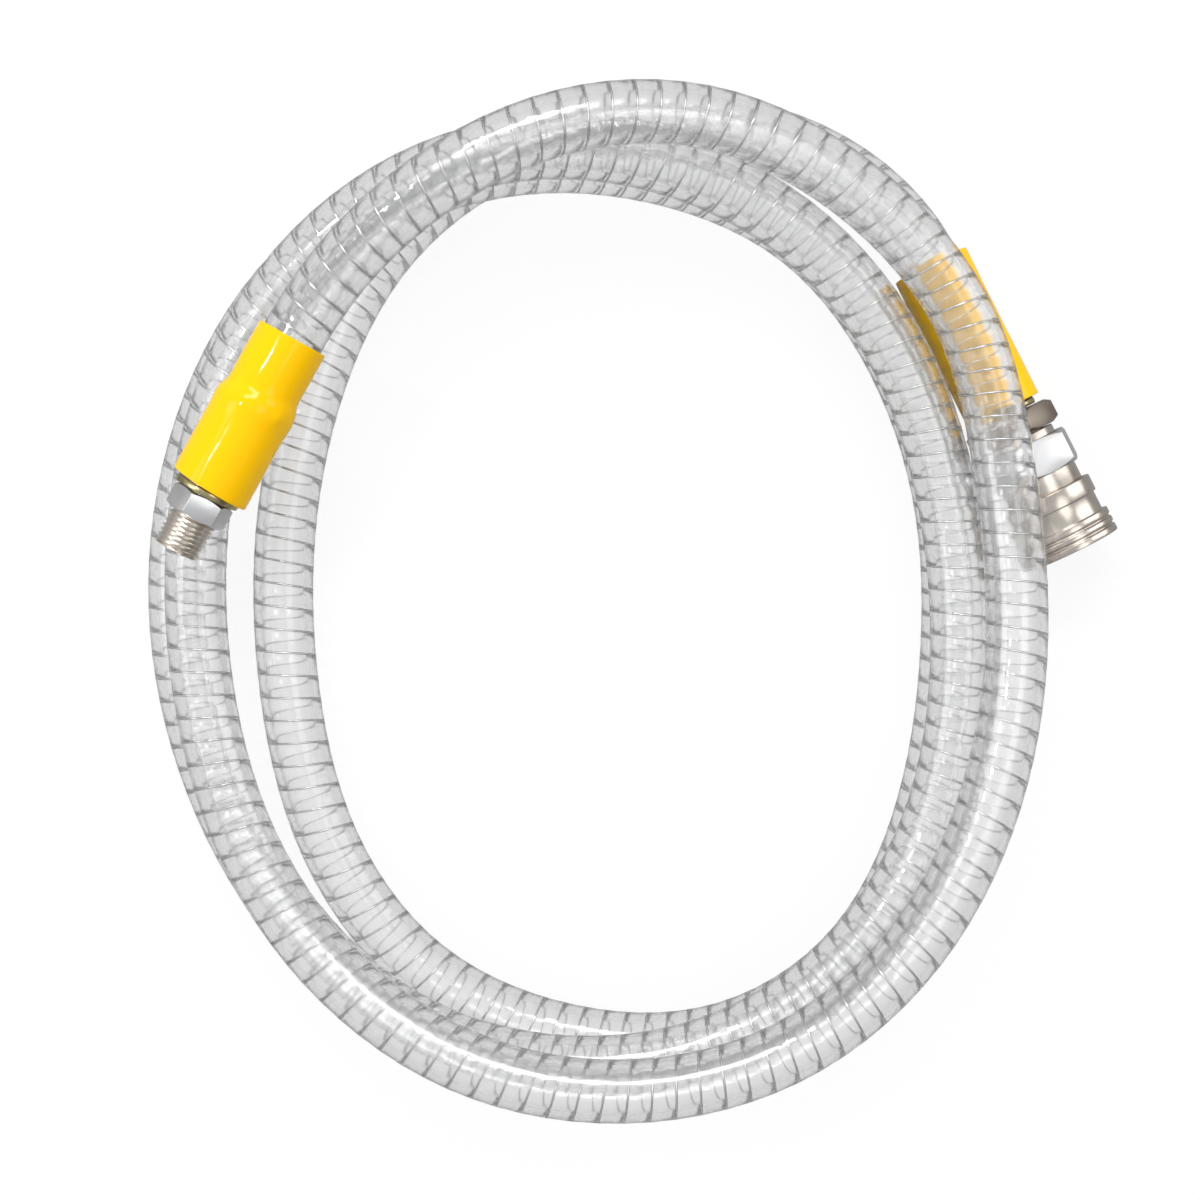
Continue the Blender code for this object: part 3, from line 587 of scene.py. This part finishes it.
def metal(name, base, dark, roughness, grain):
    # Nickel plate over turned metal: warm grey, a shade darker in the rough patches, with fine
    # marks of the given size in millimetres from the tool that finished it
    material, shader = new_material(name, Base_Color=linear(base), Metallic=1.0,
                                    Roughness=roughness)
    tree = material.node_tree
    place = add_node(tree, "ShaderNodeTexCoord").outputs["Object"]
    cloud = add_node(tree, "ShaderNodeTexNoise", {"Scale": 140.0, "Detail": 4.0}, Vector=place)
    plate = two_tone(tree, cloud.outputs["Fac"], (0.3, linear(dark)), (0.65, linear(base)))
    tree.links.new(plate, shader.inputs["Base Color"])
    marks = add_node(tree, "ShaderNodeTexNoise", {"Scale": 1 / (grain * MM), "Detail": 2.0},
                     Vector=place)
    bump = add_node(tree, "ShaderNodeBump", {"Strength": 0.15, "Distance": 0.0001},
                    Height=marks.outputs["Fac"])
    tree.links.new(bump.outputs["Normal"], shader.inputs["Normal"])
    return material


nickel = metal("nickel_plate", "#CEC6BC", "#BAB1A7", 0.24, 0.5)
bright_nickel = metal("bright_nickel_plate", "#E6E0D8", "#D4CDC4", 0.24, 0.5)
# A darker copy of the same nickel plate, a painted shade for the coupler nipple's hexagon
shaded_nickel = metal("shaded_nickel_plate", "#978C81", "#887D73", 0.3, 0.3)
milled_nickel = metal("milled_nickel_plate", "#E0E0E0", "#D2D1D0", 0.3, 0.3)


def chamfered_hex(name, flats, start, length, turn, hole):
    # A hexagon whose corners are turned down to a cone at both ends, drilled through
    end = start + length
    corner = flats / 2 / math.cos(math.radians(30))
    face = flats / 2 * HEX_TURNED_DOWN
    fall = (corner - face) * math.tan(HEX_CHAMFER)
    wide = corner + CORNER_SPARE
    piece = turned(name, [(hole, start), (face, start), (wide, start + fall),
                          (wide, end - fall), (face, end), (hole, end)], sides=96)
    bpy.ops.object.select_all(action="DESELECT")
    bpy.ops.mesh.primitive_cylinder_add(vertices=6, radius=corner, depth=length + BAR_SPARE,
                                        location=(0, 0, start + length / 2),
                                        rotation=(0, 0, math.radians(30) - turn))
    bar = bpy.context.object
    step = piece.modifiers.new("flats", "BOOLEAN")
    step.operation = "INTERSECT"
    step.object = bar
    apply_all(piece)
    bpy.data.objects.remove(bar)
    return piece


def cut_thread(piece, start, end, crest, taper):
    # Moves the points of a plain cylinder in to a helix of rounded ridges that runs out softly
    run_in, first = THREAD_RUN_IN
    for corner in piece.data.vertices:
        radius = math.hypot(corner.co.x, corner.co.y)
        height = corner.co.z
        if radius < BORE_RADIUS + BORE_SKIN or not start <= height <= end:
            continue
        angle = math.atan2(corner.co.y, corner.co.x) / math.tau
        phase = (height / THREAD_PITCH - angle) % 1.0
        valley = (abs(2 * phase - 1) - THREAD_FLAT) / (1 - 2 * THREAD_FLAT)
        valley = min(1.0, max(0.0, valley))
        top = crest - taper * (height - start) / 2
        lead = min(1.0, (end - height) / THREAD_RUN_OUT, (height - start) / run_in + first)
        wanted = min(top - THREAD_DEPTH * valley, top - THREAD_DEPTH * (1 - lead))
        scale = wanted / radius
        corner.co.x *= scale
        corner.co.y *= scale


def make_tail(name):
    # The barbed tail and the neck through the ferrule
    rings = [(BORE_RADIUS, TAIL_START), (TAIL_ROOT, TAIL_START)]
    for i in range(BARBS):
        foot = TAIL_START + i * BARB_PITCH
        rings += [(TAIL_RADIUS, foot + BARB_PITCH * BARB_CREST), (TAIL_ROOT, foot + BARB_PITCH)]
    rings += [(TAIL_ROOT, NECK_START[0]), (NECK_RADIUS, NECK_START[1]),
              (NECK_RADIUS, HEX_START + NECK_OVERLAP), (BORE_RADIUS, HEX_START + NECK_OVERLAP)]
    return turned(name, rings)


def make_thread(name, start, length, crest, taper):
    # A plain stub with rows close enough together to carry the thread
    end = start + length
    count = round(length / THREAD_ROW)
    foot = start - THREAD_OVERLAP
    rings = [(BORE_RADIUS, foot), (crest - THREAD_DEPTH, foot)]
    rings += [(crest, start + length * i / count) for i in range(count + 1)]
    rings += [(crest - THREAD_CHAMFER, end), (BORE_RADIUS + BORE_CHAMFER, end),
              (BORE_RADIUS, end - BORE_CHAMFER)]
    stub = turned(name, rings, sides=THREAD_SIDES)
    cut_thread(stub, start, end, crest, taper)
    return stub


def make_nipple(name, fitting, node, hexagon, crest, length, taper, hex_finish):
    # The tail, the thread and the hexagon overlap and make up one node
    flats, hex_length, turn = hexagon
    tail = make_tail(name + "_tail")
    collar = chamfered_hex(name + "_hexagon", flats, HEX_START, hex_length, turn, HEX_HOLE)
    soften(collar, 0.12, angle=20)
    thread = make_thread(name + "_thread", HEX_START + hex_length, length, crest, taper)
    soften(tail, 0.1)
    shade(thread, THREAD_SMOOTH_ANGLE)
    for piece, finish in ((tail, bright_nickel), (thread, bright_nickel), (collar, hex_finish)):
        dress(piece, finish)
        fix_on(piece, fitting, ROOT)
    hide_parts(node)
    return [tail, thread, collar]


make_nipple("free_nipple", END_A, "nipple_a", HEX_A, THREAD_A_RADIUS, THREAD_A_LENGTH,
            THREAD_TAPER, milled_nickel)
nipple_b = make_nipple("coupler_nipple", END_B, "nipple_b", HEX_B, THREAD_B_RADIUS,
                       THREAD_B_LENGTH, 0.0, shaded_nickel)


# Quick coupler, fixed parts
# The adapter screws on to the nipple: a shoulder, a wide hexagon and a turned neck. The body
# fits in it and holds the balls, the seal and the shut-off valve, all behind the sliding sleeve.
ADAPTER_HEX = (25.0, 10.2, math.radians(13.0))
ADAPTER_START = 55.4
ADAPTER_HEX_START = 57.5
ADAPTER_END = 74.0
SHOULDER_RADIUS = 10.4
NECK_CONE = (1.5, 3.0)
ADAPTER_NECK = 11.4
ADAPTER_BORE = 9.8
ADAPTER_SOCKET = 68.2
SPRING_POCKET = (7.2, 65.8)
WATERWAY = (5.0, 64.2)
THREAD_HOLE = THREAD_B_RADIUS + 0.3

adapter_turned = turned("coupler_neck", [
    (THREAD_HOLE, ADAPTER_START), (SHOULDER_RADIUS, ADAPTER_START),
    (SHOULDER_RADIUS, ADAPTER_HEX_START + NECK_CONE[0]),
    (ADAPTER_NECK, ADAPTER_HEX_START + NECK_CONE[1]),
    (ADAPTER_NECK, ADAPTER_END), (ADAPTER_BORE, ADAPTER_END), (ADAPTER_BORE, ADAPTER_SOCKET),
    (SPRING_POCKET[0], ADAPTER_SOCKET), SPRING_POCKET, (WATERWAY[0], SPRING_POCKET[1]),
    WATERWAY, (THREAD_HOLE, WATERWAY[1]),
])
soften(adapter_turned, 0.25, segments=3)
adapter_hex = chamfered_hex("coupler_hexagon", ADAPTER_HEX[0], ADAPTER_HEX_START,
                            ADAPTER_HEX[1], ADAPTER_HEX[2], ADAPTER_BORE + 0.3)
soften(adapter_hex, 0.15, angle=20)
dress(adapter_turned, nickel)
dress(adapter_hex, milled_nickel)
fix_on(adapter_turned, END_B, ROOT)
fix_on(adapter_hex, END_B, ROOT, "coupler_adapter")

# Quick coupler, sliding sleeve
# Turned from bar: a rounded ring at the back, a plain barrel, and a flange with two grooves for
# the fingers that pull it back to let a plug go. The ring and the barrel are each a radius and
# a length, and the land that holds the balls in is a radius, a start and an end.
SLIDE_START = 72.8
SLIDE_RING = (13.3, 4.8)
SLIDE_BARREL = (12.5, 5.7)
SLIDE_FLANGE = 13.85
MOUTH = 90.3
GROOVE_DEPTH = 0.5
GROOVE_WIDTH = 0.9
CHAMBER = 11.7
SLIDE_LAND = (9.8, 80.5, 82.05)
CHAMBER_END = 86.0
RING_END = SLIDE_START + SLIDE_RING[1]
FLANGE_START = RING_END + SLIDE_BARREL[1]

rings = [
    (CHAMBER, SLIDE_START), (SLIDE_RING[0], SLIDE_START), (SLIDE_RING[0], RING_END),
    (SLIDE_BARREL[0], RING_END), (SLIDE_BARREL[0], FLANGE_START), (SLIDE_FLANGE, FLANGE_START),
]
for groove in (1 / 3, 2 / 3):
    middle = FLANGE_START + (MOUTH - FLANGE_START) * groove
    rings += [
        (SLIDE_FLANGE, middle - GROOVE_WIDTH / 2),
        (SLIDE_FLANGE - GROOVE_DEPTH, middle - GROOVE_WIDTH / 3),
        (SLIDE_FLANGE - GROOVE_DEPTH, middle + GROOVE_WIDTH / 3),
        (SLIDE_FLANGE, middle + GROOVE_WIDTH / 2),
    ]
land, land_start, land_end = SLIDE_LAND
rings += [
    (SLIDE_FLANGE, MOUTH), (CHAMBER, MOUTH), (CHAMBER, CHAMBER_END), (land, land_end),
    (land, land_start), (CHAMBER, land_start),
]
slide = turned("coupler_sleeve", rings, sides=96)
soften(slide, 0.22, segments=3)
dress(slide, nickel)
fix_on(slide, END_B, "collar", "sliding_sleeve")

# Quick coupler, inner parts
# The turned parts behind the mouth keep the frame's shapes, and each gets its own finish.
black_rubber = new_material("nitrile_rubber", Base_Color=linear("#1B1B1C"), Roughness=0.5)[0]
ball_steel = metal("polished_ball_steel", "#C6C6C8", "#BFBFC2", 0.08, 0.2)
spring_steel = metal("spring_wire_steel", "#A9A9A8", "#8F8F8D", 0.25, 0.2)
FINISHES = {
    "coupler_body": nickel, "retaining_ring": spring_steel, "plug_seal": black_rubber,
    "valve": nickel, "valve_seal": black_rubber, "valve_guide": nickel,
    "valve_spring": spring_steel, "sleeve_spring": spring_steel,
}
for i in range(6):
    FINISHES[f"locking_ball_{i + 1}"] = ball_steel
for name, finish in FINISHES.items():
    nodes[name].data.materials.clear()
    nodes[name].data.materials.append(finish)

# A spring shortens from the end that stands still, as what it carries slides back; here each
# spring is only given a mesh of its own
SPRINGS = (
    ("sleeve_spring", "sleeve_slide", 74.3, 80.2, 3.2),
    ("valve_spring", "valve_push", 67.8, 72.7, 2.0),
)
for name, joint, still_end, free_end, travel in SPRINGS:
    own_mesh(nodes[name])

# Floor
# A matt white board that runs far past the picture. To the camera it glows nearly white, with
# only a faint shadow of the coil. Seen through the hose it is greyer, a painted shade, and in
# the metal darker still, a painted dark reflection, so each kind of ray has its own glow and
# its own paint.
FLOOR_SIZE = 6.0
FLOOR_DROP = 0.2
EYE_GLOW = 0.9
GLASS_GLOW = 0.56
METAL_GLOW = 0.2
EYE_PAINT = 0.1
GLASS_PAINT = 0.15
METAL_PAINT = 0.2
bpy.ops.object.select_all(action="DESELECT")
bpy.ops.mesh.primitive_plane_add(size=FLOOR_SIZE, location=(0, 0, -FLOOR_DROP * MM))
floor = bpy.context.object
floor.name = "floor"
board, shader = new_material("matt_white_board", Roughness=1.0, Specular_IOR_Level=0.0)
shader.inputs["Emission Color"].default_value = (1.0, 1.0, 1.0, 1.0)
tree = board.node_tree
ray = add_node(tree, "ShaderNodeLightPath").outputs
glow = None
paint = None
for kind, shine, lit in (("Is Camera Ray", EYE_GLOW, EYE_PAINT),
                         ("Is Transmission Ray", GLASS_GLOW, GLASS_PAINT),
                         ("Is Glossy Ray", METAL_GLOW, METAL_PAINT)):
    more = add_node(tree, "ShaderNodeMath", {"operation": "MULTIPLY_ADD", 1: shine, 2: 0.0})
    less = add_node(tree, "ShaderNodeMath", {"operation": "MULTIPLY_ADD", "use_clamp": True,
                                             1: lit - 1.0, 2: 1.0})
    for node, before in ((more, glow), (less, paint)):
        tree.links.new(ray[kind], node.inputs[0])
        if before:
            tree.links.new(before.outputs["Value"], node.inputs[2])
    glow = more
    paint = less
tree.links.new(glow.outputs["Value"], shader.inputs["Emission Strength"])
tree.links.new(paint.outputs["Value"], shader.inputs["Base Color"])
floor.data.materials.append(board)

# Lamps
# A studio that is lighter above and on the left, and five soft boxes, all turned to the coil: a
# large one past the top of the picture, one on each side, one high up to the right of the camera
# and a small bright one to its left.
LIGHT_SIDE = (-0.52, 0.3, 0.8)
DARK_SIDE = (0.16, 0.16, 0.16, 1.0)
LIT_SIDE = (0.68, 0.69, 0.71, 1.0)
world = bpy.data.worlds.new("studio")
world.use_nodes = True
tree = world.node_tree
side = add_node(tree, "ShaderNodeVectorMath", {"operation": "DOT_PRODUCT", 1: LIGHT_SIDE})
tree.links.new(add_node(tree, "ShaderNodeTexCoord").outputs["Generated"], side.inputs[0])
half = add_node(tree, "ShaderNodeMath", {"operation": "MULTIPLY_ADD", 1: 0.5, 2: 0.5})
tree.links.new(side.outputs["Value"], half.inputs[0])
room = two_tone(tree, half.outputs["Value"], (0.15, DARK_SIDE), (0.85, LIT_SIDE))
tree.links.new(room, tree.nodes["Background"].inputs["Color"])
bpy.context.scene.world = world


def soft_box(name, place, size, power, target=(0.0, 0.0, 0.0)):
    # A rectangular lamp turned to face the target
    way = Vector(target) - Vector(place)
    bpy.ops.object.light_add(type="AREA", location=place,
                             rotation=way.to_track_quat("-Z", "Y").to_euler())
    lamp = bpy.context.object
    lamp.name = name
    lamp.data.shape = "RECTANGLE"
    lamp.data.size = size[0]
    lamp.data.size_y = size[1]
    lamp.data.energy = power


soft_box("large_box", (-0.05, 0.75, 1.0), (0.7, 0.3), 7.0)
soft_box("left_box", (-0.95, 0.1, 0.75), (0.5, 0.5), 2.3)
soft_box("top_box", (0.48, -0.05, 1.0), (0.45, 0.45), 1.1)
soft_box("right_box", (0.93, 0.45, 0.45), (0.4, 0.9), 2.4)
soft_box("small_box", (-0.56, 0.23, 0.99), (0.07, 0.09), 1.5)

scene = bpy.context.scene
scene.view_settings.view_transform = "Standard"
scene.cycles.caustics_refractive = False
scene.cycles.caustics_reflective = False
scene.cycles.max_bounces = 10
scene.cycles.diffuse_bounces = 2
scene.cycles.glossy_bounces = 5
scene.cycles.transmission_bounces = 10
scene.cycles.transparent_max_bounces = 12
